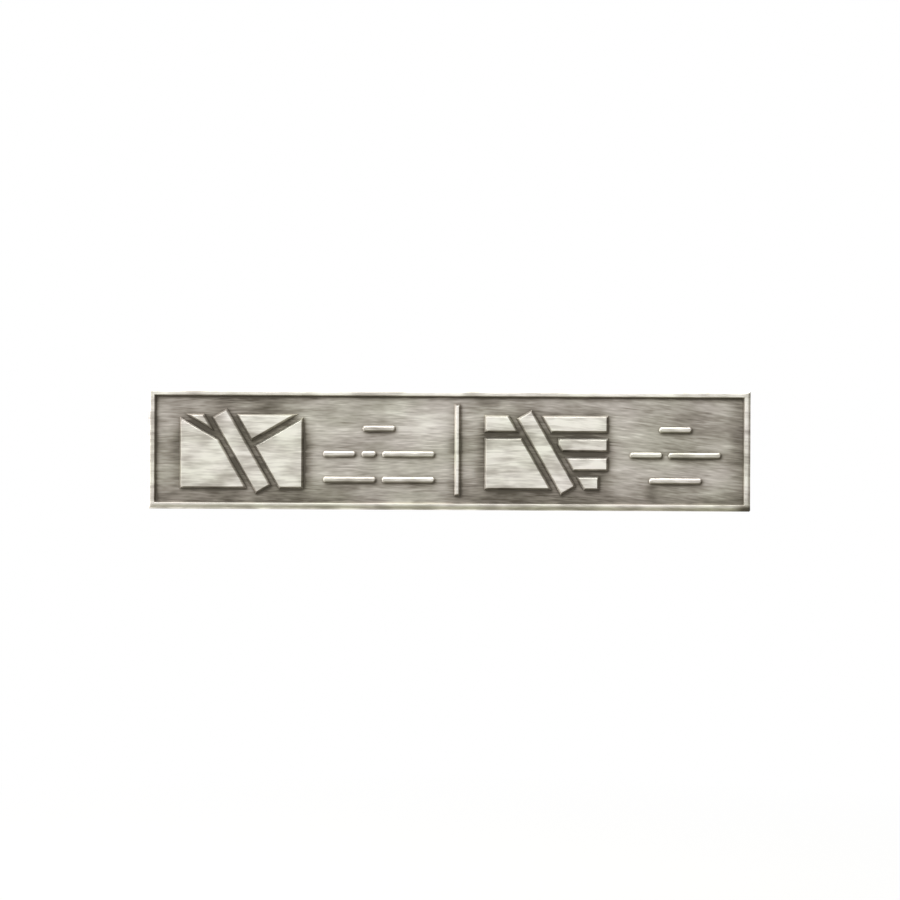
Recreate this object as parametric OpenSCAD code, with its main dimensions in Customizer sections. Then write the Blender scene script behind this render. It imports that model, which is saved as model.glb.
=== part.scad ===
/* [Plate] */
// Length of the plate
plate_w = 120; // [116:1:150]
// Height of the plate
plate_h = 24; // [22:0.5:30]
// Metal left under the sunk field
field_t = 1.2; // [0.8:0.1:2]
// Radius of the plate's corners, seen from the front
corner_r = 0.4; // [0.2:0.1:1.2]

/* [Rim] */
// Width of the raised rim, from the plate's edge to the foot of its inner wall
rim_w = 1.6; // [1.3:0.1:2]
// Height of the rim's crest above the field
rim_h = 0.8; // [0.5:0.05:1.2]
// Fall of the rim's rounded outer slope, from the crest to the square edge
rim_fall = 0.65; // [0.3:0.05:1]
// Width of the flat crest
crest_w = 0.15; // [0.1:0.05:0.4]
// Run of the rim's steep inner wall
rim_wall_run = 0.35; // [0.1:0.05:0.6]

/* [Relief] */
// Height of the pictograms and the divider above the field
relief_h = 0.75; // [0.5:0.05:1]
// Run of the bevel round the pictograms and the divider
bevel_run = 0.45; // [0.2:0.05:0.5]
// Height of the steep foot below every bevel
foot_h = 0.25; // [0.1:0.05:0.35]
// Draft of that foot, which lets the casting leave its mould
foot_draft = 0.06; // [0.02:0.02:0.1]

/* [Divider] */
// Width of the upright divider
divider_w = 1.4; // [1.2:0.1:2.4]
// Gap between the divider's ends and the rim
divider_gap = 1.2; // [0.4:0.1:4]
// How far the divider stands to the right of the plate's middle
divider_x = 1.6; // [-1:0.2:3]

/* [Pictograms] */
// Width of each pictogram
picto_w = 24.8; // [20:0.2:26]
// Height of each sheet that a pictogram shows
sheet_h = 15; // [13:0.2:16]
// How far a pictogram stands from the rim or the divider on its left
picto_margin = 4.6; // [2:0.1:5]
// How far the pictograms stand below the plate's middle
picto_drop = 0.45; // [0:0.05:0.8]
// Width of the grooves that part a raised sheet, at their foot
groove_w = 0.9; // [0.6:0.05:1.2]
// How far the point of the envelope's flap lies below the envelope's top
flap_depth = 7.2; // [5:0.1:8.5]
// Height of the heading on the news sheet
heading_h = 3.6; // [2.6:0.1:4.2]
// Width of the picture on the news sheet
picture_w = 13.7; // [12:0.1:15]
// Lines of print beside the picture
print_lines = 3; // [2:1:3]
// How much shorter the last line is than the others
last_line_cut = 1.8; // [0:0.2:2.4]

/* [Crossing bar] */
// Height that the crossing bar spans
slash_h = 17.2; // [16:0.2:18]
// Width of the crossing bar
slash_w = 3.6; // [2.4:0.1:4]
// Slant of the crossing bar, up from level
slash_angle = 60; // [52:1:68]
// Field left bare on each side of the crossing bar
slash_gap = 0.9; // [0.6:0.05:1.2]

/* [Dashes] */
// Length of a short dash
dash_short = 3.2; // [2.4:0.1:4]
// Length of a middling dash
dash_mid = 6.8; // [5:0.1:7.2]
// Length of a long dash
dash_long = 10.8; // [8:0.1:11.4]
// Height of a dash, seen from the front
dash_w = 1.4; // [1:0.1:1.8]
// Height of the dashes above the field
dash_relief = 0.5; // [0.4:0.05:0.8]
// Run of the bevel round a dash
dash_bevel_run = 0.38; // [0.2:0.02:0.46]
// Gap between dashes in one row
dash_gap = 0.9; // [0.6:0.1:1.2]
// Distance from one row of dashes to the next
row_pitch = 5.1; // [3:0.1:5.4]
// How far the middle row stands below the plate's middle
row_drop = 0.95; // [0:0.05:1.2]

/* [Adhesive pad] */
// Thickness of the foam adhesive pad
pad_t = 0.8; // [0.4:0.1:1.6]
// How far the pad's edge stays inside the plate's edge
pad_inset = 1.5; // [0.5:0.25:4]
// Radius of the pad's corners
pad_corner_r = 1; // [0.5:0.25:3]

/* [Hidden] */
$fn = 48;
metal_tone = "#A39E94";
foam_tone = "#5E605F";

// Raised shapes are rooted this deep in the plate, so that the casting is one solid
root = 0.3;
// Cuts run this far past what they cut
over = 1;
// Flats that make up the rim's rounded outer slope
slope_steps = 6;

crest_z = field_t + rim_h;
edge_z = crest_z - rim_fall;
slope_run = rim_w - crest_w - rim_wall_run;
field_w = plate_w - 2 * rim_w;
field_h = plate_h - 2 * rim_w;

left_picto_x = picto_margin + picto_w / 2 - field_w / 2;
right_picto_x = divider_x + divider_w / 2 + picto_margin + picto_w / 2;
// Each half's rows stand midway between the pictogram and the next wall
left_rows_x = (left_picto_x + picto_w / 2 + divider_x - divider_w / 2) / 2;
right_rows_x = (right_picto_x + picto_w / 2 + field_w / 2) / 2;
left_rows = [[dash_mid], [dash_mid, dash_short, dash_long], [dash_long, dash_long]];
right_rows = [[dash_mid], [dash_mid, dash_long], [dash_long]];

// Edge profiles as points of [how far in from the side, height above the field], foot first
function raised_edge(height, run) = [[0, -root], [0, 0], [foot_draft, foot_h], [run, height]];
function sunk_edge(height, run) =
  [[0, -over], [0, 0], [-foot_draft, foot_h], [-run, height], [-run, height + over]];
// The rim's outer slope is a quarter of an ellipse, which leaves the square edge upright
slope_arc = [
  for (a = [0 : 90 / slope_steps : 90]) [slope_run * (1 - cos(a)), edge_z + rim_fall * sin(a)]
];
rim_edge = concat([[0, 0]], slope_arc);
field_edge = [[0, field_t], [-rim_wall_run, crest_z], [-rim_wall_run, crest_z + over]];

// The modules below draw the plate lying face up: X along it, Y up its face, Z out of its face

// Bar along Y with one edge profile on both sides and plain ends
module profile_bar(width, length, edge) {
  right = [for (p = edge) [width / 2 - p.x, p.y]];
  left = [for (i = [len(edge) - 1 : -1 : 0]) [edge[i].x - width / 2, edge[i].y]];
  rotate([90, 0, 0])
    linear_extrude(length, center = true)
      polygon(concat(right, left));
}

// Block with one edge profile on all four sides and mitred corners, which may spread past its foot
module mitred_block(width, height, edge) {
  spread = max([for (p = edge) -p.x]);
  intersection() {
    profile_bar(width, height + 2 * spread, edge);
    rotate([0, 0, 90])
      profile_bar(height, width + 2 * spread, edge);
  }
}

module rounded_rectangle(width, height, r) {
  square([width - 2 * r, height], center = true);
  square([width, height - 2 * r], center = true);
  for (x = [r - width / 2, width / 2 - r], y = [r - height / 2, height / 2 - r])
    translate([x, y])
      circle(r);
}

// Plate with its sunk field and mitred rim
module rimmed_plate() {
  intersection() {
    mitred_block(plate_w, plate_h, rim_edge);
    linear_extrude(crest_z)
      rounded_rectangle(plate_w, plate_h, corner_r);
  }
}

module sunk_field() {
  mitred_block(field_w, field_h, field_edge);
}

// Envelope seen from its back: a raised sheet with a groove along each side of its flap
module envelope() {
  flap_slope = atan(2 * flap_depth / picto_w);
  groove_l = norm([picto_w / 2, flap_depth]) + over;
  difference() {
    mitred_block(picto_w, sheet_h, raised_edge(relief_h, bevel_run));
    translate([0, sheet_h / 2 - flap_depth, 0])
      for (side = [-1, 1])
        rotate([0, 0, side * (flap_slope - 90)])
          translate([0, groove_l / 2, 0])
            profile_bar(groove_w, groove_l, sunk_edge(relief_h, bevel_run));
  }
}

// News sheet of raised parts: a heading, and below it a picture and lines of print
module news_sheet() {
  edge = raised_edge(relief_h, bevel_run);
  right = picto_w / 2;
  bottom = -sheet_h / 2;
  print_h = sheet_h - heading_h - groove_w;
  line_pitch = (print_h + groove_w) / print_lines;
  line_h = line_pitch - groove_w;
  translate([0, (sheet_h - heading_h) / 2, 0])
    mitred_block(picto_w, heading_h, edge);
  translate([picture_w / 2 - right, bottom + print_h / 2, 0])
    mitred_block(picture_w, print_h, edge);
  for (i = [0 : print_lines - 1]) {
    line_w = picto_w - picture_w - groove_w - (i == 0 ? last_line_cut : 0);
    translate([picture_w + groove_w + line_w / 2 - right, bottom + line_h / 2 + i * line_pitch, 0])
      mitred_block(line_w, line_h, edge);
  }
}

// Sheet with a slanting bar across it, and bare field on both sides of the bar
module crossed_out() {
  slash_l = (slash_h - slash_w * cos(slash_angle)) / sin(slash_angle);
  difference() {
    children();
    rotate([0, 0, 90 - slash_angle])
      profile_bar(slash_w + 2 * slash_gap, 2 * picto_w, sunk_edge(relief_h, bevel_run));
  }
  rotate([0, 0, 90 - slash_angle])
    mitred_block(slash_w, slash_l, raised_edge(relief_h, bevel_run));
}

// Dash with round ends, centred
module dash(length) {
  r = dash_w / 2;
  edge = raised_edge(dash_relief, dash_bevel_run);
  rotate([0, 0, 90])
    profile_bar(dash_w, length - dash_w, edge);
  for (x = [r - length / 2, length / 2 - r])
    translate([x, 0, 0])
      rotate_extrude()
        polygon(concat([[0, -root]], [for (p = edge) [r - p.x, p.y]], [[0, dash_relief]]));
}

function sum_to(list, n) = n <= 0 ? 0 : list[n - 1] + sum_to(list, n - 1);
function row_length(row) = sum_to(row, len(row)) + dash_gap * (len(row) - 1);

// Rows of dashes, each row centred
module dash_rows(rows) {
  for (r = [0 : len(rows) - 1], i = [0 : len(rows[r]) - 1]) {
    start = sum_to(rows[r], i) + i * dash_gap - row_length(rows[r]) / 2;
    translate([start + rows[r][i] / 2, ((len(rows) - 1) / 2 - r) * row_pitch, 0])
      dash(rows[r][i]);
  }
}

module relief() {
  translate([left_picto_x, -picto_drop, 0])
    crossed_out()
      envelope();
  translate([right_picto_x, -picto_drop, 0])
    crossed_out()
      news_sheet();
  translate([left_rows_x, -row_drop, 0])
    dash_rows(left_rows);
  translate([right_rows_x, -row_drop, 0])
    dash_rows(right_rows);
  translate([divider_x, 0, 0])
    mitred_block(divider_w, field_h - 2 * divider_gap, raised_edge(relief_h, bevel_run));
}

// The cast plate: its back lies on the pad and its face looks along -Y
module sign_plate() {
  color(metal_tone)
    rotate([90, 0, 0])
      translate([0, 0, pad_t]) {
        difference() {
          rimmed_plate();
          sunk_field();
        }
        translate([0, 0, field_t])
          relief();
      }
}

// The foam adhesive pad: its back is the face that sticks to the letterbox
module adhesive_pad() {
  color(foam_tone)
    rotate([90, 0, 0])
      linear_extrude(pad_t)
        rounded_rectangle(plate_w - 2 * pad_inset, plate_h - 2 * pad_inset, pad_corner_r);
}

sign_plate();
adhesive_pad();
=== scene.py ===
import math

import bmesh
import bpy
import numpy as np
from bpy.props import FloatProperty, FloatVectorProperty, IntProperty, PointerProperty
from mathutils import Matrix, Vector
from mathutils.bvhtree import BVHTree


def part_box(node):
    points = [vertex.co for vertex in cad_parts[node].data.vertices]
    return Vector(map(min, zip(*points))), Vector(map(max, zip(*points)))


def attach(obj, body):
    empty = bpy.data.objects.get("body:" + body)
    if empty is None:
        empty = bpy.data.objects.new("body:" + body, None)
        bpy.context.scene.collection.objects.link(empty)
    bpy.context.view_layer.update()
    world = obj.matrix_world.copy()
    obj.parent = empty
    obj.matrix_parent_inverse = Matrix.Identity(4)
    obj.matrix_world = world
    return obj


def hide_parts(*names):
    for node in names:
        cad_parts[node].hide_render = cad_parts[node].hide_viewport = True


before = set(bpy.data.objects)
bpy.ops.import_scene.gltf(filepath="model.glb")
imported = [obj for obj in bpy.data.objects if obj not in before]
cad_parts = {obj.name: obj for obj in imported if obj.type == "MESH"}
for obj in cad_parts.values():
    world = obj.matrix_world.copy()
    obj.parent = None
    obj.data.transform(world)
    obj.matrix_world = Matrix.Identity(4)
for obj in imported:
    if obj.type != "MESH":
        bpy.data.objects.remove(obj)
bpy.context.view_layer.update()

bl_info = {
    "name": "Cast letterbox sign",
    "version": (1, 0, 0),
    "blender": (4, 5, 0),
    "location": "3D View > Sidebar > Letterbox sign",
    "description": "A cast pewter sign plate with raised pictograms and a foam adhesive pad",
    "category": "Add Mesh",
}

MM = 0.001
# Edges and faces smaller than this are closed up
SLIVER = 0.008 * MM
# Corners this close, and heights this close, are the same
SAME_PLACE = 0.001 * MM
SAME_HEIGHT = 0.01 * MM
# How exactly a plane cuts a mesh
CUT_TOLERANCE = 1e-7
# How much of Z is in the normal of a face that looks along it, and of one that is level
ALONG_Z = 0.9
LEVEL = 0.99
# Names of the marks that the finish leaves on the mesh, painted shadow and painted light among
# them, and that the pewter reads
MARKS = ("line", "haze", "grime", "buffing", "away_from_light")
plate_low, plate_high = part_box("sign_plate")
pad_low, pad_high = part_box("adhesive_pad")


def size(name, mm, description):
    """A length whose default is given in millimetres"""
    return FloatProperty(
        name=name, description=description, default=mm * MM, min=0, precision=5, unit="LENGTH"
    )


def linear(code):
    """Linear red, green and blue of an sRGB hex value"""
    parts = [int(code[i : i + 2], 16) / 255 for i in (1, 3, 5)]
    return [c / 12.92 if c <= 0.04045 else ((c + 0.055) / 1.055) ** 2.4 for c in parts]


def colour(name, code, description):
    """A colour whose default is given as an sRGB hex value"""
    return FloatVectorProperty(
        name=name, description=description, default=linear(code), min=0, max=1, subtype="COLOR"
    )


def share(name, value, description):
    """A share, where 1 is the whole"""
    return FloatProperty(name=name, description=description, default=value, min=0, max=1)


class PlateSizes(bpy.types.PropertyGroup):
    """Sizes of the cast plate: its blank, its rim and the relief on its field"""

    plate_w: size("Plate length", (plate_high.x - plate_low.x) / MM, "Length of the plate")
    plate_h: size("Plate height", (plate_high.z - plate_low.z) / MM, "Height of the plate")
    back_y: size("Pad thickness", -plate_high.y / MM, "How far the plate stands off the wall")
    field_t: size("Field", 1.2, "Metal left under the sunk field")
    corner_r: size("Corner radius", 0.4, "Radius of the plate's corners")
    back_round: size("Back edge", 0.12, "Rounding of the plate's back edge")

    rim_w: size("Rim width", 1.6, "From the plate's edge to the foot of the rim's inner wall")
    rim_h: size("Rim height", 0.8, "Height of the crest above the field")
    rim_fall: size("Rim fall", 0.65, "Fall of the rounded outer slope")
    crest_w: size("Crest width", 0.15, "Width of the flat crest")
    rim_wall_run: size("Rim wall run", 0.35, "Run of the rim's steep inner wall")

    relief_h: size("Relief height", 0.75, "Height of the pictograms and the divider")
    bevel_run: size("Bevel run", 0.45, "Run of the bevel round the raised shapes")
    foot_h: size("Foot height", 0.25, "Height of the steep foot below the bevel")
    foot_draft: size("Foot draft", 0.06, "Draft of that foot")
    root: size("Root", 0.3, "How deep the raised shapes are rooted in the plate")
    edge_round: size("Edge rounding", 0.09, "Softening of the cast and buffed edges")

    divider_w: size("Divider width", 1.4, "Width of the upright divider")
    divider_gap: size("Divider gap", 1.2, "Gap between the divider's ends and the rim")
    divider_x: size("Divider place", 1.6, "How far the divider stands right of the middle")

    picto_w: size("Pictogram width", 24.8, "Width of each pictogram")
    sheet_h: size("Sheet height", 15, "Height of each sheet that a pictogram shows")
    picto_margin: size("Pictogram margin", 4.6, "From the wall on a pictogram's left")
    picto_drop: size("Pictogram drop", 0.45, "How far the pictograms stand below the middle")
    groove_w: size("Groove", 0.9, "Width of the grooves that part a raised sheet")
    flap_depth: size("Flap depth", 7.2, "Depth of the flap's point below the envelope's top")
    heading_h: size("Heading height", 3.6, "Height of the heading on the news sheet")
    picture_w: size("Picture width", 13.7, "Width of the picture on the news sheet")
    print_lines: IntProperty(
        name="Lines", description="Lines beside the picture", default=3, min=2, max=3
    )
    last_line_cut: size("Last line", 1.8, "How much shorter the last line is than the others")
    slash_h: size("Bar height", 17.2, "Height that the crossing bar spans")
    slash_w: size("Bar width", 3.6, "Width of the crossing bar")
    slash_gap: size("Bar gap", 0.9, "Field left bare on each side of the crossing bar")
    slash_angle: FloatProperty(
        name="Bar slant",
        description="Slant of the crossing bar, up from level",
        default=math.radians(60),
        subtype="ANGLE",
    )

    dash_short: size("Short dash", 3.2, "Length of a short dash")
    dash_mid: size("Middling dash", 6.8, "Length of a middling dash")
    dash_long: size("Long dash", 10.8, "Length of a long dash")
    dash_w: size("Dash width", 1.4, "Height of a dash, seen from the front")
    dash_relief: size("Dash height", 0.5, "Height of the dashes above the field")
    dash_bevel_run: size("Dash bevel run", 0.38, "Run of the bevel round a dash")
    dash_round: size("Dash rounding", 0.2, "Softening of the dashes' bevels")
    dash_gap: size("Dash gap", 0.9, "Gap between dashes in one row")
    row_pitch: size("Row pitch", 5.1, "From one row of dashes to the next")
    row_drop: size("Row drop", 0.95, "How far the middle row stands below the middle")

    mesh_pitch: size("Mesh pitch", 0.6, "Pitch of the cuts that let the casting be uneven")
    unevenness: size("Unevenness", 0.03, "How deep the hand-finished casting sinks here and there")
    wander_reach: size("Unevenness reach", 7, "How far apart those places lie")
    wall_margin: size("Wall margin", 1, "Width of the field beside a wall that is meshed finer")
    # The black line is a painted shadow on the lower right of what is raised
    painted_shadow_reach: size("Line reach", 0.24, "Reach of the black line on the lee side of a wall")
    haze_reach: size("Haze reach", 0.9, "Reach of the dark haze round what is raised")
    # The haze is patina beside what is raised, drawn to the lower right as painted shade
    grime_reach: size("Grime reach", 2, "How far the relief keeps the brush off the field")
    # On the rim, only this share of the painted shade on faces turned from the light is kept
    rim_painted_shade: share("Rim lee", 0.3, "How much of the lee side is left on the rim, buffed all round")


class PadSizes(bpy.types.PropertyGroup):
    """Sizes of the foam adhesive pad"""

    pad_w: size("Pad length", (pad_high.x - pad_low.x) / MM, "Length of the pad")
    pad_h: size("Pad height", (pad_high.z - pad_low.z) / MM, "Height of the pad")
    pad_t: size("Pad thickness", (pad_high.y - pad_low.y) / MM, "Thickness of the pad")
    corner_r: size("Corner radius", 1, "Radius of the pad's corners")
    cut_edge: size("Cut edge", 0.1, "Rounding that the die leaves on the pad's edges")
    mesh_pitch: size("Mesh pitch", 1.5, "Pitch of the cuts that let the foam be uneven")
    unevenness: size("Unevenness", 0.04, "How deep the foam sinks here and there")
    wander_reach: size("Unevenness reach", 9, "How far apart those places lie")


class FinishColours(bpy.types.PropertyGroup):
    """Colours of the pewter's antique finish and of the foam"""

    recess: colour("Recess", "#35322B", "Black patina that the brush never reached")
    patina: colour("Patina", "#6B655B", "Patina that the brush thinned")
    brushed: colour("Brushed", "#9C968C", "Pewter brushed back through the patina")
    bare: colour("Bare", "#C9C4BB", "Bare brushed pewter")
    buffed: colour("Buffed", "#F6F3EA", "Pewter buffed bright on the raised shapes")
    purple_cast: colour("Purple cast", "#FFFDFF", "Tint of the patina in one place")
    olive_cast: colour("Olive cast", "#FDFFFB", "Tint of the patina in another")
    foam: colour("Foam", "#5E605F", "Dark grey acrylic foam")
    field_polish: share("Field polish", 0.78, "How bare the brushed field is")
    raised_polish: share("Raised polish", 0.93, "How bare the raised shapes are")
    stain_depth: share("Stains", 0.15, "How dark the stains on the field are")
    raised_stain_depth: share("Raised stains", 0.25, "How dark the stains on the raised shapes are")
    grime_depth: share("Grime", 0.34, "How dark the grime is round the relief")
    # The haze is patina beside what is raised, drawn to the lower right as painted shade
    haze_depth: share("Haze", 0.14, "How dark the patina is beside what is raised")
    # The black line is a painted shadow on the lower right of what is raised
    painted_shadow_depth: share("Black line", 0.46, "How black the line is on a wall's lee side")
    least_polish: share("Least polish", 0.2, "How bare even the blackest place is")
    # Painted highlight on faces turned toward the light, and painted shade on faces turned from it
    painted_highlight_gain: share("Edge", 0.15, "How much brighter the faces that met the wheel are")
    painted_shade_depth: share("Lee", 0.45, "How much darker the faces turned from the wheel are")


class StageSettings(bpy.types.PropertyGroup):
    """Camera and studio"""

    lens: FloatProperty(name="Lens", description="Focal length in mm", default=85)
    turn: FloatProperty(
        name="Turn", description="Camera's turn about Z", default=0, subtype="ANGLE"
    )
    tilt: FloatProperty(
        name="Tilt", description="Camera's rise", default=0, subtype="ANGLE"
    )
    roll: FloatProperty(
        name="Roll", description="Camera's roll", default=math.radians(0.3), subtype="ANGLE"
    )
    distance: size("Distance", 425.6, "From the camera to the point that it looks at")
    aim_x: size("Aim", 0.12, "How far right of the middle the camera looks")
    floor_drop: size("Floor drop", 110, "How far the floor lies below the sign's middle")
    floor_r: size("Floor radius", 900, "Radius of the floor")


def only(obj):
    """Selects this object alone"""
    bpy.ops.object.select_all(action="DESELECT")
    obj.select_set(True)
    bpy.context.view_layer.objects.active = obj
    return obj


def edit(obj, kind="FACE"):
    """Opens edit mode on this object, with nothing selected"""
    only(obj)
    bpy.ops.object.mode_set(mode="EDIT")
    bpy.ops.mesh.select_mode(type=kind)
    bpy.ops.mesh.select_all(action="DESELECT")


def close_edit():
    """Leaves edit mode"""
    bpy.ops.object.mode_set(mode="OBJECT")


def pick(obj, test):
    """In edit mode, selects the faces that pass a test, and no others"""
    bpy.ops.mesh.select_all(action="DESELECT")
    mesh = bmesh.from_edit_mesh(obj.data)
    for face in mesh.faces:
        if test(face):
            face.select_set(True)
    bmesh.update_edit_mesh(obj.data)


def apply_modifier(obj, kind, **settings):
    """Adds a modifier with its settings and applies it"""
    only(obj)
    modifier = obj.modifiers.new(kind.title(), kind)
    for name, value in settings.items():
        setattr(modifier, name, value)
    bpy.ops.object.modifier_apply(modifier=modifier.name)


def combine(obj, other, operation):
    """Unites this object with another one, cuts it out or keeps what both share"""
    apply_modifier(obj, "BOOLEAN", object=other, operation=operation, solver="EXACT")
    bpy.data.meshes.remove(other.data)


def faces_up(face):
    """Whether a face looks up, as a test for pick"""
    return face.normal.z > ALONG_Z


def join(objs):
    """Joins all these objects into the first"""
    only(objs[0])
    for obj in objs[1:]:
        obj.select_set(True)
    bpy.ops.object.join()
    return objs[0]


def block(width, height, low, high, at=(0, 0), turn=0):
    """A block that lies face up between two heights"""
    bpy.ops.mesh.primitive_cube_add(
        size=1,
        location=(at[0], at[1], (low + high) / 2),
        rotation=(0, 0, turn),
        scale=(width, height, high - low),
    )
    bpy.ops.object.transform_apply(location=True, rotation=True, scale=True)
    return bpy.context.object


def round_corners(obj, radius, least_height):
    """Rounds the upright edges of a block"""
    edit(obj, "EDGE")
    for edge in bmesh.from_edit_mesh(obj.data).edges:
        rise = abs(edge.verts[0].co.z - edge.verts[1].co.z)
        edge.select_set(rise > least_height / 2)
    bpy.ops.mesh.bevel(offset=radius, segments=8, affect="EDGES")
    close_edit()


def softened(profile, reach, cuts=3, most=0.45):
    """The profile with a curve for each inner corner, which takes up at most a share of a side"""

    def toward(corner, other):
        side = other - corner
        return corner + side.normalized() * min(reach, side.length * most)

    points = [Vector(p) for p in profile]
    soft = [points[0]]
    for before, corner, after in zip(points, points[1:], points[2:]):
        start = toward(corner, before)
        end = toward(corner, after)
        for i in range(cuts + 1):
            t = i / cuts
            soft.append((1 - t) ** 2 * start + 2 * t * (1 - t) * corner + t**2 * end)
    return soft + [points[-1]]


def inset_along(profile):
    """Insets the selected faces along a profile of points [in from the edge, height]"""
    for here, there in zip(profile, profile[1:]):
        bpy.ops.mesh.inset(
            thickness=there[0] - here[0],
            depth=there[1] - here[1],
            use_even_offset=True,
            use_boundary=True,
        )


class Relief:
    """Raised shapes on the field, first as flat blocks level with it and then raised"""

    def __init__(self, s):
        self.s = s
        self.low = s.field_t - s.root
        self.high = s.field_t

    def flat(self, width, height, at, turn=0):
        """A flat block that is rooted in the plate and level with its field"""
        return block(width, height, self.low, self.high, at, turn)

    def slot(self, width, height, at, turn):
        """A block that cuts right through the flat shapes"""
        return block(width, height, self.low - self.s.root, self.high + self.s.root, at, turn)

    def envelope(self, x, y, past_edge=1.1):
        """An envelope seen from its back: a sheet with a groove along each side of its flap"""
        s = self.s
        shape = self.flat(s.picto_w, s.sheet_h, (x, y))
        point_y = y + s.sheet_h / 2 - s.flap_depth
        slope = math.atan(2 * s.flap_depth / s.picto_w)
        length = past_edge * math.hypot(s.picto_w / 2, s.flap_depth)
        for side in (-1, 1):
            middle_x = x + side * length / 2 * math.cos(slope)
            middle_y = point_y + length / 2 * math.sin(slope)
            groove = self.slot(length, s.groove_w, (middle_x, middle_y), side * slope)
            combine(shape, groove, "DIFFERENCE")
        return shape

    def news_sheet(self, x, y):
        """A news sheet of raised parts: a heading, and below it a picture and lines of print"""
        s = self.s
        left = x - s.picto_w / 2
        bottom = y - s.sheet_h / 2
        print_h = s.sheet_h - s.heading_h - s.groove_w
        line_pitch = (print_h + s.groove_w) / s.print_lines
        line_h = line_pitch - s.groove_w
        line_left = left + s.picture_w + s.groove_w
        shapes = [
            self.flat(s.picto_w, s.heading_h, (x, y + (s.sheet_h - s.heading_h) / 2)),
            self.flat(s.picture_w, print_h, (left + s.picture_w / 2, bottom + print_h / 2)),
        ]
        for i in range(s.print_lines):
            line_w = x + s.picto_w / 2 - line_left - (s.last_line_cut if i == 0 else 0)
            at = (line_left + line_w / 2, bottom + line_h / 2 + i * line_pitch)
            shapes.append(self.flat(line_w, line_h, at))
        return join(shapes)

    def cross_out(self, shape, x, y):
        """Cuts a slanting slot through a sheet and lays the crossing bar in it"""
        s = self.s
        turn = math.pi / 2 - s.slash_angle
        slot = self.slot(s.slash_w + 2 * s.slash_gap, 2 * s.picto_w, (x, y), turn)
        combine(shape, slot, "DIFFERENCE")
        length = (s.slash_h - s.slash_w * math.cos(s.slash_angle)) / math.sin(s.slash_angle)
        return join([shape, self.flat(s.slash_w, length, (x, y), turn)])

    def dash(self, length, x, y, sides=24):
        """A dash with round ends: a cylinder whose halves are drawn apart"""
        radius = self.s.dash_w / 2
        bpy.ops.mesh.primitive_cylinder_add(
            vertices=sides,
            radius=radius,
            depth=self.high - self.low,
            location=(x, y, (self.low + self.high) / 2),
            rotation=(0, 0, math.pi / sides),
        )
        bpy.ops.object.transform_apply(location=True, rotation=True, scale=True)
        shape = bpy.context.object
        edit(shape, "VERT")
        for side in (-1, 1):
            bpy.ops.mesh.select_all(action="DESELECT")
            for vertex in bmesh.from_edit_mesh(shape.data).verts:
                vertex.select_set((vertex.co.x - x) * side > 0)
            bpy.ops.transform.translate(value=(side * (length / 2 - radius), 0, 0))
        close_edit()
        return shape

    def dash_rows(self, rows, x, y):
        """Rows of dashes, each row centred"""
        shapes = []
        for r, row in enumerate(rows):
            start = x - (sum(row) + self.s.dash_gap * (len(row) - 1)) / 2
            row_y = y + ((len(rows) - 1) / 2 - r) * self.s.row_pitch
            for length in row:
                shapes.append(self.dash(length, start + length / 2, row_y))
                start += length + self.s.dash_gap
        return shapes

    def raise_up(self, shapes, height, bevel_run, rounding):
        """Joins flat shapes and raises them from the field, with a steep foot and a bevel"""
        s = self.s
        shape = join(shapes)
        edit(shape)
        bpy.ops.mesh.select_all(action="SELECT")
        bpy.ops.mesh.remove_doubles(threshold=SAME_PLACE)
        bpy.ops.mesh.dissolve_limited(angle_limit=math.radians(0.5))
        pick(shape, faces_up)
        profile = [
            (0, 0),
            (s.foot_draft, s.foot_h),
            (bevel_run, height),
            (bevel_run + rounding, height),
        ]
        inset_along(softened(profile, rounding))
        close_edit()
        return shape


def relief(s):
    """All that stands on the field: two pictograms, the rows of dashes and the divider"""
    r = Relief(s)
    field_w = s.plate_w - 2 * s.rim_w
    field_h = s.plate_h - 2 * s.rim_w
    left_x = s.picto_margin + s.picto_w / 2 - field_w / 2
    right_x = s.divider_x + s.divider_w / 2 + s.picto_margin + s.picto_w / 2
    left_rows_x = (left_x + s.picto_w / 2 + s.divider_x - s.divider_w / 2) / 2
    right_rows_x = (right_x + s.picto_w / 2 + field_w / 2) / 2
    left_rows = [[s.dash_mid], [s.dash_mid, s.dash_short, s.dash_long], [s.dash_long, s.dash_long]]
    right_rows = [[s.dash_mid], [s.dash_mid, s.dash_long], [s.dash_long]]
    tall = [
        r.cross_out(r.envelope(left_x, -s.picto_drop), left_x, -s.picto_drop),
        r.cross_out(r.news_sheet(right_x, -s.picto_drop), right_x, -s.picto_drop),
        r.flat(s.divider_w, field_h - 2 * s.divider_gap, (s.divider_x, 0)),
    ]
    low = r.dash_rows(left_rows, left_rows_x, -s.row_drop)
    low += r.dash_rows(right_rows, right_rows_x, -s.row_drop)
    return join(
        [
            r.raise_up(tall, s.relief_h, s.bevel_run, s.edge_round),
            r.raise_up(low, s.dash_relief, s.dash_bevel_run, s.dash_round),
        ]
    )


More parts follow.
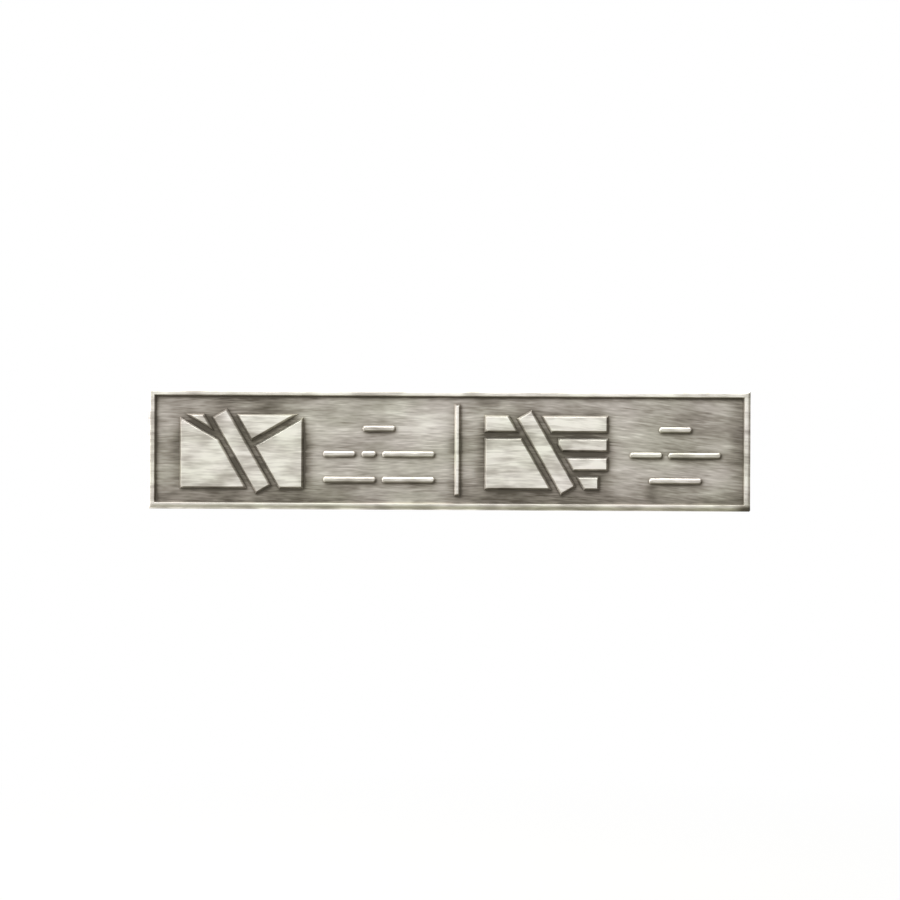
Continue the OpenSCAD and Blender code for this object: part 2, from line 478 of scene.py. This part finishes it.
def rimmed_blank(s, slope_steps=10):
    """The plate without its relief: a blank with a rounded rim round a sunk field"""
    crest_z = s.field_t + s.rim_h
    edge_z = crest_z - s.rim_fall
    slope_run = s.rim_w - s.crest_w - s.rim_wall_run
    slope = []
    for i in range(slope_steps + 1):
        angle = math.pi / 2 * i / slope_steps
        slope.append((slope_run * (1 - math.cos(angle)), edge_z + s.rim_fall * math.sin(angle)))
    crest = (slope_run + s.crest_w, crest_z)
    foot = (s.rim_w, s.field_t)
    field = (s.rim_w + 4 * s.edge_round, s.field_t)
    inner = softened([slope[-1], crest, foot, field], s.edge_round)
    blank = block(s.plate_w, s.plate_h, 0, edge_z)
    edit(blank)
    pick(blank, faces_up)
    inset_along(slope + inner[1:])
    close_edit()

    outer = block(s.plate_w, s.plate_h, 0, crest_z + s.rim_h)
    round_corners(outer, s.corner_r, s.rim_h)
    edit(outer)
    pick(outer, lambda face: face.normal.z < -ALONG_Z)
    bpy.ops.mesh.bevel(offset=s.back_round, segments=3, affect="EDGES")
    close_edit()
    combine(blank, outer, "INTERSECT")
    return blank


def make_triangles():
    """In edit mode, closes up the slivers that cuts leave and makes all faces triangles"""
    bpy.ops.mesh.select_all(action="SELECT")
    bpy.ops.mesh.remove_doubles(threshold=SLIVER)
    bpy.ops.mesh.dissolve_degenerate(threshold=SLIVER)
    bpy.ops.mesh.quads_convert_to_tris(quad_method="BEAUTY", ngon_method="BEAUTY")


def grid_cuts(obj, width, height, pitch):
    """Cuts the whole mesh into small even faces"""
    edit(obj)
    for axis, span in ((0, width), (1, height)):
        count = round(span / pitch)
        normal = Vector((0, 0, 0))
        normal[axis] = 1
        for i in range(1, count):
            bpy.ops.mesh.select_all(action="SELECT")
            point = normal * (i / count - 0.5) * span
            bpy.ops.mesh.bisect(plane_co=point, plane_no=normal, threshold=CUT_TOLERANCE)
    make_triangles()
    bpy.ops.mesh.normals_make_consistent(inside=False)
    close_edit()


def wander(obj, reach, depth):
    """Lets a surface sink here and there, as hand finishing leaves it, and never rise"""
    clouds = bpy.data.textures.new("wander", "CLOUDS")
    clouds.noise_scale = reach
    clouds.noise_depth = 1
    apply_modifier(
        obj, "DISPLACE", texture=clouds, texture_coords="LOCAL", strength=depth, mid_level=1
    )


def lay_in_frame(obj, back_y):
    """Turns a piece that was made face up, so that it looks along -Y, and puts it in its place"""
    only(obj)
    obj.matrix_world = Matrix.Translation((0, back_y, 0)) @ Matrix.Rotation(math.pi / 2, 4, "X")
    bpy.ops.object.transform_apply(location=True, rotation=True, scale=True)


def relief_feet(shape, level):
    """Upright fences along the feet of the raised shapes, to measure distances from"""
    corners, fences = [], []
    up = Vector((0, 0, MM))
    for edge in shape.data.edges:
        start, end = (shape.data.vertices[i].co for i in edge.vertices)
        if max(abs(start.z - level), abs(end.z - level)) < SAME_HEIGHT:
            fences.append([len(corners) + i for i in range(4)])
            corners += [start - up, end - up, end + up, start + up]
    return BVHTree.FromPolygons(corners, fences)


def refine_beside_walls(obj, s, feet):
    """Halves the faces of the field that lie beside a wall"""

    def beside(face):
        centre = face.calc_center_median()
        if face.normal.z < LEVEL or abs(centre.z - s.field_t) > SAME_HEIGHT:
            return False
        from_edge = min(s.plate_w / 2 - abs(centre.x), s.plate_h / 2 - abs(centre.y))
        from_foot = feet.find_nearest(centre)[3]
        return min(from_edge - s.rim_w, from_foot) < s.wall_margin

    edit(obj)
    pick(obj, beside)
    bpy.ops.mesh.subdivide(number_cuts=1)
    make_triangles()
    close_edit()


class HeightMap:
    """What stands over the plate's field, seen from the front: 1 where the metal is raised"""

    def __init__(self, obj, s, pitch=0.2 * MM):
        tree = BVHTree.FromObject(obj, bpy.context.evaluated_depsgraph_get())
        self.pitch = pitch
        self.start = np.array([pitch - s.plate_w, pitch - s.plate_h]) / 2
        self.xs, self.ys = (
            start + pitch * np.arange(round(-2 * start / pitch) + 1) for start in self.start
        )
        top = 2 * s.plate_h
        down = Vector((0, 0, -1))
        hits = [tree.ray_cast(Vector((x, y, top)), down)[0] for x in self.xs for y in self.ys]
        rises = np.array([hit.z - s.field_t if hit else 0 for hit in hits])
        rises = rises.reshape(len(self.xs), len(self.ys))
        in_length = np.abs(self.xs) < s.plate_w / 2 - s.rim_w
        in_height = np.abs(self.ys) < s.plate_h / 2 - s.rim_w
        on_field = in_length[:, None] & in_height[None, :]
        self.raised = np.clip(rises / s.dash_relief, 0, 1)
        self.rim = self.raised * ~on_field
        # The tallest shapes keep the brush farthest off
        self.relief = np.clip(rises / s.relief_h, 0, 1) * on_field

    def spread(self, shares, points, reach, shift):
        """The share at each point of a map that is blurred over a reach and shifted"""
        for line, move in ((self.xs, shift[0]), (self.ys, shift[1])):
            gap = line[:, None] - line[None, :] - move
            weights = np.exp(-(gap**2) / (2 * reach**2)) * self.pitch
            shares = (weights / (reach * math.sqrt(2 * math.pi)) @ shares).T
        # Each point's cell, a hair inside the last one at most, and its place in that cell
        last = np.array(shares.shape) - 1.001
        cell = np.clip((points[:, :2] - self.start) / self.pitch, 0, last)
        (i, j), (u, v) = cell.astype(int).T, (cell % 1).T
        near = shares[i, j] * (1 - v) + shares[i, j + 1] * v
        far = shares[i + 1, j] * (1 - v) + shares[i + 1, j + 1] * v
        return near * (1 - u) + far * u


# How much the wheel buffed a raised shape: at the field, at the top of its foot, at a dash's
# height and at full height
BUFFED_AT = (0, 0.75, 0.8, 1)
# How much it buffed the plate's side: at the back, past the back's rounded edge and at the rim
SIDE_BUFFED_AT = (0, 0.6, 1)
# Light falls from the upper left, so this points to the lower right: the painted shadow of a wall
# falls that way, and faces turned that way get painted shade
SHADOW_DIRECTION = np.array([0.7, -0.7]) * MM
# How far each mark lies from the wall that it belongs to
# The painted shadow and the haze are pulled to the lower right, where shadow falls
PAINTED_SHADOW_SHIFT = 0.35 * SHADOW_DIRECTION
HAZE_SHIFT = 0.4 * SHADOW_DIRECTION
GRIME_SHIFT = np.array([0, -0.7]) * MM
RIM_GRIME_SHIFT = -1.6 * SHADOW_DIRECTION
# Nothing stands up on the back, so it has no painted shadow or haze and its patina is even
BACK_MARKS = {"line": 0, "haze": 0, "grime": 0.3}


def mark_finish(obj, s):
    """Writes the marks of the finish and of the painted light: the black line, a painted shadow on
    the lower right of what is raised; the haze beside it, patina drawn to the lower right as
    painted shade; the grime round it; the buffing of what is raised; and how far each face turns
    from the light"""
    mesh = obj.data
    points = np.array([v.co for v in mesh.vertices])
    normals = np.array([v.normal for v in mesh.vertices])
    plate = HeightMap(obj, s)
    rim_gap = np.array([s.plate_w, s.plate_h]) / 2 - s.rim_w + s.rim_wall_run / 2
    on_rim = (np.abs(points[:, :2]) > rim_gap).any(1)
    on_back = points[:, 2] < s.back_round / 2
    rise = points[:, 2] - s.field_t
    buffing = np.interp(rise, (0, s.foot_h, s.dash_relief, s.relief_h), BUFFED_AT)
    side_rises = (-s.field_t, s.back_round - s.field_t, s.rim_h - s.rim_fall)
    side_buffing = np.interp(rise, side_rises, SIDE_BUFFED_AT)
    turned_from_light = normals[:, :2] @ SHADOW_DIRECTION / MM
    haze = plate.spread(plate.relief, points, s.haze_reach, HAZE_SHIFT)
    haze += plate.spread(plate.rim, points, s.haze_reach, -HAZE_SHIFT)
    grime = plate.spread(plate.relief, points, s.grime_reach, GRIME_SHIFT)
    grime += plate.spread(plate.rim, points, s.grime_reach, RIM_GRIME_SHIFT)
    marks = {
        # Painted shadow: a black line on the lower right of what is raised
        "line": plate.spread(plate.raised, points, s.painted_shadow_reach, PAINTED_SHADOW_SHIFT),
        # Patina beside what is raised, drawn to the lower right as painted shade
        "haze": haze,
        "grime": grime,
        "buffing": np.where(on_rim, side_buffing, buffing),
        # How far each face turns from the light: painted shade one way, painted highlight the other
        "away_from_light": turned_from_light * np.where(on_rim & (turned_from_light > 0), s.rim_painted_shade, 1),
    }
    for name, value in BACK_MARKS.items():
        marks[name][on_back] = value
    for name in MARKS:
        layer = mesh.attributes.new(name, "FLOAT", "POINT")
        layer.data.foreach_set("value", marks[name].astype(np.float32))


def shade(obj, material, angle=math.radians(32)):
    """Gives a finished piece its material and smooths all but its sharp edges"""
    only(obj)
    bpy.ops.object.shade_smooth_by_angle(angle=angle)
    obj.data.materials.clear()
    obj.data.materials.append(material)


def add_node(tree, kind, inputs=None, **settings):
    """One shader node, with its settings, and its inputs given a value or linked"""
    node = tree.nodes.new("ShaderNode" + kind)
    for name, value in settings.items():
        setattr(node, name, value)
    for name, value in (inputs or {}).items():
        if isinstance(value, bpy.types.NodeSocket):
            tree.links.new(value, node.inputs[name])
        else:
            node.inputs[name].default_value = value
    return node


def calc(tree, operation, *values):
    """The outcome of a sum on numbers and on other nodes' outcomes"""
    return add_node(tree, "Math", dict(enumerate(values)), operation=operation).outputs[0]


def rescaled(tree, value, low, high, at_low=0, at_high=1, interpolation="LINEAR"):
    """Goes from one level to another while a value goes from low to high"""
    # Inputs 1 and 2 are the range that the value comes from, and 3 and 4 the one that it goes to
    levels = {"Value": value, 1: low, 2: high, 3: at_low, 4: at_high}
    return add_node(tree, "MapRange", levels, interpolation_type=interpolation).outputs[0]


def noise(tree, place, scale, detail):
    """Noise about 0.5, with so many spots to each unit of the place"""
    inputs = {"Vector": place, "Scale": scale, "Detail": detail}
    return add_node(tree, "TexNoise", inputs).outputs["Fac"]


def mixed_colours(tree, amount, first, second, blend_type="MIX"):
    """Two colours blended by an amount of the second"""
    # Inputs 6 and 7 and output 2 are the node's colours
    inputs = {0: amount, 6: first, 7: second}
    return add_node(tree, "Mix", inputs, data_type="RGBA", blend_type=blend_type).outputs[2]


def place_in_mm(tree):
    """Where a point lies on its piece, in millimetres"""
    place = add_node(tree, "TexCoord").outputs["Object"]
    return add_node(tree, "VectorMath", {0: place, "Scale": 1 / MM}, operation="SCALE").outputs[0]


def new_material(name):
    """An empty material and its node tree"""
    material = bpy.data.materials.new(name)
    material.use_nodes = True
    material.node_tree.nodes.clear()
    return material, material.node_tree


def finish_material(tree, shader, kind="Material"):
    """Links a shader to the output"""
    add_node(tree, "Output" + kind, {"Surface": shader.outputs[0]})


def set_ramp(node, stops):
    """Gives a colour ramp its stops of [place, linear colour]"""
    ramp = node.color_ramp
    while len(ramp.elements) > 1:
        ramp.elements.remove(ramp.elements[-1])
    for i, (place, tone) in enumerate(stops):
        element = ramp.elements[0] if i == 0 else ramp.elements.new(place)
        element.position = place
        element.color = (*tone, 1)


# Marks of the wire brush: length and height in mm, and how strongly each shows. The finest are
# drawn as coarse as they need to be to show
FIELD_SWATHES = ((30, 2.2, 0.3), (11, 0.7, 0.1))
FIELD_SCRATCHES = ((6, 0.32, 0.36), (2.8, 0.2, 0.44))
RAISED_SWATHES = ((6, 2.6, 0.6), (9, 0.6, 0.3))
RAISED_SCRATCHES = ((5, 0.32, 0.26), (2.8, 0.2, 0.34))
# Rows of scratches lie this far apart in the noise, so that they don't look alike
ROW_STEP = 7.31
# How far the brush sways, in mm, and how fast it falls to the right of the middle
BRUSH_SWAY = 1.6
BRUSH_FALL = 0.0011

# Larger stains on the field: place, half width and half height in mm, and how dark they are.
# Below 0 is a place that the brush cleaned further
STAINS = (
    (-54.5, 8, 5, 4, 0.26),
    (-40, 9.2, 17, 3.2, 0.24),
    (-56.5, -2, 3.5, 8, 0.15),
    (-22, 7, 8, 3, 0.12),
    # Painted shade for the shadows of the lettering that the dashes stand in for
    (-14, 0.5, 13, 5, 0.06),
    (-6, 5, 6, 4.5, -0.14),
    (-9, -9.5, 17, 3.5, -0.22),
    (6, 8.5, 5, 3, 0.12),
    (46, 5.5, 17, 9, 0.25),
    (40.2, -8, 2, 3, 0.16),
    (52, -9.5, 9, 3, -0.13),
)
# On what is raised: a dark one on the rim's lower right corner, and the divider, buffed further
RAISED_STAINS = (
    (59.2, -11.7, 4, 1.3, 0.85),
    (1.6, 0, 2, 24, -0.16),
)


def brush_marks(tree, along, across, swathes, scratches, base):
    """Polish left by the brush: soft swathes, and straight scratches that each fade in and out"""
    total = base - sum(weight for _, _, weight in (*swathes, *scratches)) / 2
    for kind, marks in (("swathe", swathes), ("scratch", scratches)):
        for length, height, weight in marks:
            row = calc(tree, "DIVIDE", across, height)
            if kind == "scratch":
                row = calc(tree, "MULTIPLY", calc(tree, "FLOOR", row), ROW_STEP)
            spot = {"X": calc(tree, "DIVIDE", along, length), "Z": row}
            spot = add_node(tree, "CombineXYZ", spot).outputs[0]
            total = calc(tree, "MULTIPLY_ADD", noise(tree, spot, 1, 1), weight, total)
    return total


def large_stains(tree, mm, uneven, stains):
    """How much of each stain lies on a place, with the stain's depth"""
    found = []
    for x, z, half_w, half_h, depth in stains:
        away = add_node(tree, "VectorMath", {0: mm, 1: (x, 0, z)}, operation="SUBTRACT")
        away = {0: away.outputs[0], 1: (1 / half_w, 0, 1 / half_h)}
        away = add_node(tree, "VectorMath", away, operation="MULTIPLY").outputs[0]
        away = add_node(tree, "VectorMath", {0: away}, operation="LENGTH").outputs["Value"]
        near = rescaled(tree, away, 1, 0, interpolation="SMOOTHSTEP")
        found.append((calc(tree, "MULTIPLY", near, uneven), depth))
    return found


def darkened(tree, polish, marks):
    """Polish less each mark's depth where the mark lies"""
    for value, depth in marks:
        polish = calc(tree, "MULTIPLY_ADD", value, -depth, polish)
    return polish


def antique_pewter(c):
    """Cast pewter, blackened in acid and brushed back along its length: the black stays at the foot
    of the walls and in the brush marks, and what is raised is buffed bright. Painted on top: a
    shadow on the lower right of each wall, shade on faces turned from the light and highlights on
    those toward it"""
    material, tree = new_material("antique_pewter")
    mm = place_in_mm(tree)
    along, _, up = add_node(tree, "SeparateXYZ", {0: mm}).outputs
    # The black line is a painted shadow, the haze patina drawn out as painted shade, and the last
    # mark how far a face turns from the light
    line, haze, grime, buffing, away_from_light = (
        add_node(tree, "Attribute", attribute_name=name).outputs["Fac"] for name in MARKS
    )

    # The brush runs level on the left and ever more downhill to the right, and sways
    swayed = calc(tree, "MULTIPLY_ADD", noise(tree, mm, 0.03, 0), BRUSH_SWAY, up)
    right = calc(tree, "POWER", calc(tree, "MAXIMUM", along, 0), 2)
    across = calc(tree, "MULTIPLY_ADD", right, BRUSH_FALL, swayed)
    field = brush_marks(tree, along, across, FIELD_SWATHES, FIELD_SCRATCHES, c.field_polish)
    raised = brush_marks(tree, along, across, RAISED_SWATHES, RAISED_SCRATCHES, c.raised_polish)

    # Stains of a few millimetres, drawn out along the brush, left where it pressed less
    drawn = add_node(tree, "VectorMath", {0: mm, 1: (0.5, 1, 1)}, operation="MULTIPLY").outputs[0]
    stain = noise(tree, drawn, 0.24, 3)
    stained = rescaled(tree, stain, 0.42, 0.72)
    # Grime gathers unevenly round the relief; beside a wall lie the haze, patina partly drawn out
    # as painted shade, and the black line, a painted shadow
    uneven = rescaled(tree, stain, 0.3, 0.7, 0.8, 1.2)
    gathered = rescaled(tree, grime, 0, 0.4, interpolation="SMOOTHSTEP")
    marks = [
        (stained, c.stain_depth),
        (calc(tree, "MULTIPLY", gathered, uneven), c.grime_depth),
        (haze, c.haze_depth),
        (line, c.painted_shadow_depth),
    ]
    field = darkened(tree, field, marks + large_stains(tree, mm, uneven, STAINS))
    field = calc(tree, "MAXIMUM", field, c.least_polish)
    # Painted light: faces turned toward the upper left, where the light is, get a painted
    # highlight, and those turned from it painted shade
    marks = [
        (stained, c.raised_stain_depth),
        (rescaled(tree, away_from_light, -0.5, -0.1, 1, 0), -c.painted_highlight_gain),
        (rescaled(tree, away_from_light, 0.1, 0.5), c.painted_shade_depth),
    ]
    raised = darkened(tree, raised, marks + large_stains(tree, mm, uneven, RAISED_STAINS))
    lifted = rescaled(tree, buffing, 0.15, 1, interpolation="SMOOTHSTEP")
    polish = add_node(tree, "Mix", {0: lifted, 2: field, 3: raised}).outputs[0]

    # The darkest tones serve both the patina and the painted shadow and shade
    tone = add_node(tree, "ValToRGB", {0: polish})
    stops = ((0, c.recess), (0.25, c.patina), (0.5, c.brushed), (0.75, c.bare), (1, c.buffed))
    set_ramp(tone, [(at, tuple(value)) for at, value in stops])
    # Over some 7 mm the patina turns from a purple to an olive cast and back
    cast = rescaled(tree, noise(tree, drawn, 0.15, 2), 0.35, 0.65)
    casts = mixed_colours(tree, cast, (*c.purple_cast, 1), (*c.olive_cast, 1))
    bumps = add_node(tree, "Bump", {"Height": polish, "Distance": 0.03 * MM, "Strength": 1})
    inputs = {
        "Base Color": mixed_colours(tree, 1, tone.outputs[0], casts, "MULTIPLY"),
        "Roughness": rescaled(tree, polish, 0, 1, 0.6, 0.36),
        "Metallic": rescaled(tree, polish, 0, 0.6, 0.7, 1),
        "Normal": bumps.outputs[0],
    }
    finish_material(tree, add_node(tree, "BsdfPrincipled", inputs))
    return material


def acrylic_foam(c):
    """Closed-cell acrylic foam, die-cut from a roll, with the sheen of its bare adhesive"""
    material, tree = new_material("acrylic_foam")
    mm = place_in_mm(tree)
    # The cells are about 0.2 mm and are drawn twice as large, so that they show
    cells = add_node(tree, "TexVoronoi", {"Vector": mm, "Scale": 2.5}).outputs["Distance"]
    cloud = noise(tree, mm, 0.12, 3)
    fade = rescaled(tree, cloud, 0.3, 0.7, 0.9, 1.08)
    depth = calc(tree, "MULTIPLY", rescaled(tree, cells, 0, 0.7, 0.62, 1.2), fade)
    bumps = add_node(tree, "Bump", {"Height": cells, "Distance": 0.08 * MM, "Strength": 1})
    inputs = {
        "Base Color": mixed_colours(tree, 1, (*c.foam, 1), depth, "MULTIPLY"),
        "Roughness": rescaled(tree, cloud, 0.3, 0.7, 0.34, 0.5),
        "Normal": bumps.outputs[0],
    }
    finish_material(tree, add_node(tree, "BsdfPrincipled", inputs))
    return material


class LETTERBOX_OT_cast_plate(bpy.types.Operator):
    """Makes the cast plate with its rim, pictograms, dashes and divider"""

    bl_idname = "letterbox.cast_plate"
    bl_label = "Cast plate"

    def execute(self, context):
        s = context.scene.plate_sizes
        plate = rimmed_blank(s)
        shapes = relief(s)
        feet = relief_feet(shapes, s.field_t)
        combine(plate, shapes, "UNION")
        grid_cuts(plate, s.plate_w, s.plate_h, s.mesh_pitch)
        refine_beside_walls(plate, s, feet)
        mark_finish(plate, s)
        wander(plate, s.wander_reach, s.unevenness)
        lay_in_frame(plate, -s.back_y)
        plate.name = plate.data.name = "cast_plate"
        shade(plate, antique_pewter(context.scene.finish_colours))
        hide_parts("sign_plate")
        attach(plate, "root")
        return {"FINISHED"}


class LETTERBOX_OT_foam_pad(bpy.types.Operator):
    """Makes the foam adhesive pad on the plate's back"""

    bl_idname = "letterbox.foam_pad"
    bl_label = "Foam pad"

    def execute(self, context):
        s = context.scene.pad_sizes
        pad = block(s.pad_w, s.pad_h, 0, s.pad_t)
        round_corners(pad, s.corner_r, s.pad_t)
        edit(pad)
        pick(pad, lambda face: abs(face.normal.z) > ALONG_Z)
        bpy.ops.mesh.bevel(offset=s.cut_edge, segments=2, affect="EDGES")
        close_edit()
        grid_cuts(pad, s.pad_w, s.pad_h, s.mesh_pitch)
        wander(pad, s.wander_reach, s.unevenness)
        lay_in_frame(pad, 0)
        pad.name = pad.data.name = "foam_pad"
        shade(pad, acrylic_foam(context.scene.finish_colours))
        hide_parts("adhesive_pad")
        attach(pad, "root")
        return {"FINISHED"}


# Soft lights: name, place, width, height and radiance
SOFTBOXES = (
    ("overhead", (-0.08, -0.05, 0.55), 0.8, 0.75, 2.4),
    ("left", (-0.5, -0.08, 0.06), 0.4, 0.34, 1.25),
)
# Cards beside the sign: name, place, width, height and tone
GREY_CARDS = (
    ("left_card", (-0.25, -0.25, 0), 0.2, 0.2, "#DEDCD4"),
    ("right_card", (0.4, -0.04, -0.02), 0.5, 0.6, "#8C8981"),
    ("low_card", (0.02, -0.03, -0.1), 0.4, 0.25, "#A8A796"),
)


def softbox(name, place, width, height, radiance):
    """A soft light that looks at the sign; radiance 1 is as bright as the white world"""
    light = bpy.data.lights.new(name, "AREA")
    light.shape = "RECTANGLE"
    light.size, light.size_y = width, height
    light.energy = radiance * math.pi * width * height
    lamp = bpy.data.objects.new(name, light)
    bpy.context.collection.objects.link(lamp)
    lamp.location = place
    lamp.rotation_euler = (-Vector(place)).to_track_quat("-Z", "Y").to_euler()
    lamp.visible_camera = False


def grey_card(name, place, width, height, code):
    """A card that only the metal sees, as set beside bright metal so that its edges read"""
    bpy.ops.mesh.primitive_plane_add(size=1, location=place)
    card = bpy.context.object
    card.name = name
    card.scale = (width, height, 1)
    card.rotation_euler = (-Vector(place)).to_track_quat("Z", "Y").to_euler()
    material, tree = new_material(name)
    finish_material(tree, add_node(tree, "Emission", {"Color": (*linear(code), 1), "Strength": 1}))
    card.data.materials.append(material)
    card.visible_camera = card.visible_shadow = card.visible_diffuse = False


def white_world(lit):
    """White to the camera and to the metal, and a plain level of light for everything else"""
    world = bpy.data.worlds.new("studio")
    bpy.context.scene.world = world
    world.use_nodes = True
    tree = world.node_tree
    tree.nodes.clear()
    ray = add_node(tree, "LightPath").outputs
    seen = calc(tree, "MAXIMUM", ray["Is Camera Ray"], ray["Is Glossy Ray"])
    seen = calc(tree, "MAXIMUM", seen, ray["Is Transmission Ray"])
    level = rescaled(tree, seen, 0, 1, lit, 1)
    light = add_node(tree, "Background", {"Color": (1, 1, 1, 1), "Strength": level})
    finish_material(tree, light, "World")


def pale_floor_paint(fade_from, fade_to):
    """Matt white studio floor that fades into the white background round its edge"""
    material, tree = new_material("studio_floor")
    place = add_node(tree, "TexCoord").outputs["Object"]
    away = add_node(tree, "VectorMath", {0: place}, operation="LENGTH").outputs["Value"]
    fade = rescaled(tree, away, fade_from, fade_to, 0.6, 1)
    white = calc(tree, "MULTIPLY", add_node(tree, "LightPath").outputs["Is Camera Ray"], fade)
    paint = {"Base Color": (*linear("#EFEEEA"), 1), "Roughness": 0.8}
    paint = add_node(tree, "BsdfPrincipled", paint).outputs[0]
    glow = add_node(tree, "Emission", {"Color": (1, 1, 1, 1), "Strength": 1}).outputs[0]
    finish_material(tree, add_node(tree, "MixShader", {0: white, 1: paint, 2: glow}))
    return material


class LETTERBOX_OT_stage(bpy.types.Operator):
    """Sets the floor, the studio lights and the camera"""

    bl_idname = "letterbox.stage"
    bl_label = "Studio"

    def execute(self, context):
        s = context.scene.stage_settings
        context.scene.view_settings.view_transform = "Standard"
        white_world(lit=0.5)

        bpy.ops.mesh.primitive_circle_add(
            vertices=96, radius=s.floor_r, fill_type="NGON", location=(0, 0, -s.floor_drop)
        )
        floor = context.object
        floor.name = "studio_floor"
        floor.data.materials.append(pale_floor_paint(fade_from=0.1, fade_to=0.3))
        for light in SOFTBOXES:
            softbox(*light)
        for card in GREY_CARDS:
            grey_card(*card)

        camera = bpy.data.objects.new("camera", bpy.data.cameras.new("camera"))
        context.collection.objects.link(camera)
        camera.data.lens = s.lens
        turn = Matrix.Rotation(s.turn, 4, "Z") @ Matrix.Rotation(math.pi / 2 - s.tilt, 4, "X")
        turn = turn @ Matrix.Rotation(s.roll, 4, "Z")
        back = turn @ Vector((0, 0, s.distance))
        camera.matrix_world = Matrix.Translation(Vector((s.aim_x, 0, 0)) + back) @ turn
        context.scene.camera = camera
        return {"FINISHED"}


class LETTERBOX_PT_sign(bpy.types.Panel):
    """Lists the pieces of the sign"""

    bl_label = "Letterbox sign"
    bl_space_type = "VIEW_3D"
    bl_region_type = "UI"
    bl_category = "Letterbox sign"

    def draw(self, context):
        for operator in OPERATORS:
            self.layout.operator(operator.bl_idname)
        for group in PROPERTY_GROUPS:
            box = self.layout.box()
            box.label(text=group)
            for name in getattr(context.scene, group).__annotations__:
                box.prop(getattr(context.scene, group), name)


PROPERTY_GROUPS = {
    "plate_sizes": PlateSizes,
    "pad_sizes": PadSizes,
    "finish_colours": FinishColours,
    "stage_settings": StageSettings,
}
OPERATORS = (LETTERBOX_OT_cast_plate, LETTERBOX_OT_foam_pad, LETTERBOX_OT_stage)


def register():
    for cls in (*PROPERTY_GROUPS.values(), *OPERATORS, LETTERBOX_PT_sign):
        bpy.utils.register_class(cls)
    for name, group in PROPERTY_GROUPS.items():
        setattr(bpy.types.Scene, name, PointerProperty(type=group))


def unregister():
    for name in PROPERTY_GROUPS:
        delattr(bpy.types.Scene, name)
    for cls in (LETTERBOX_PT_sign, *OPERATORS, *PROPERTY_GROUPS.values()):
        bpy.utils.unregister_class(cls)


def main():
    register()
    bpy.ops.letterbox.cast_plate()
    bpy.ops.letterbox.foam_pad()
    bpy.ops.letterbox.stage()


if __name__ == "__main__":
    main()
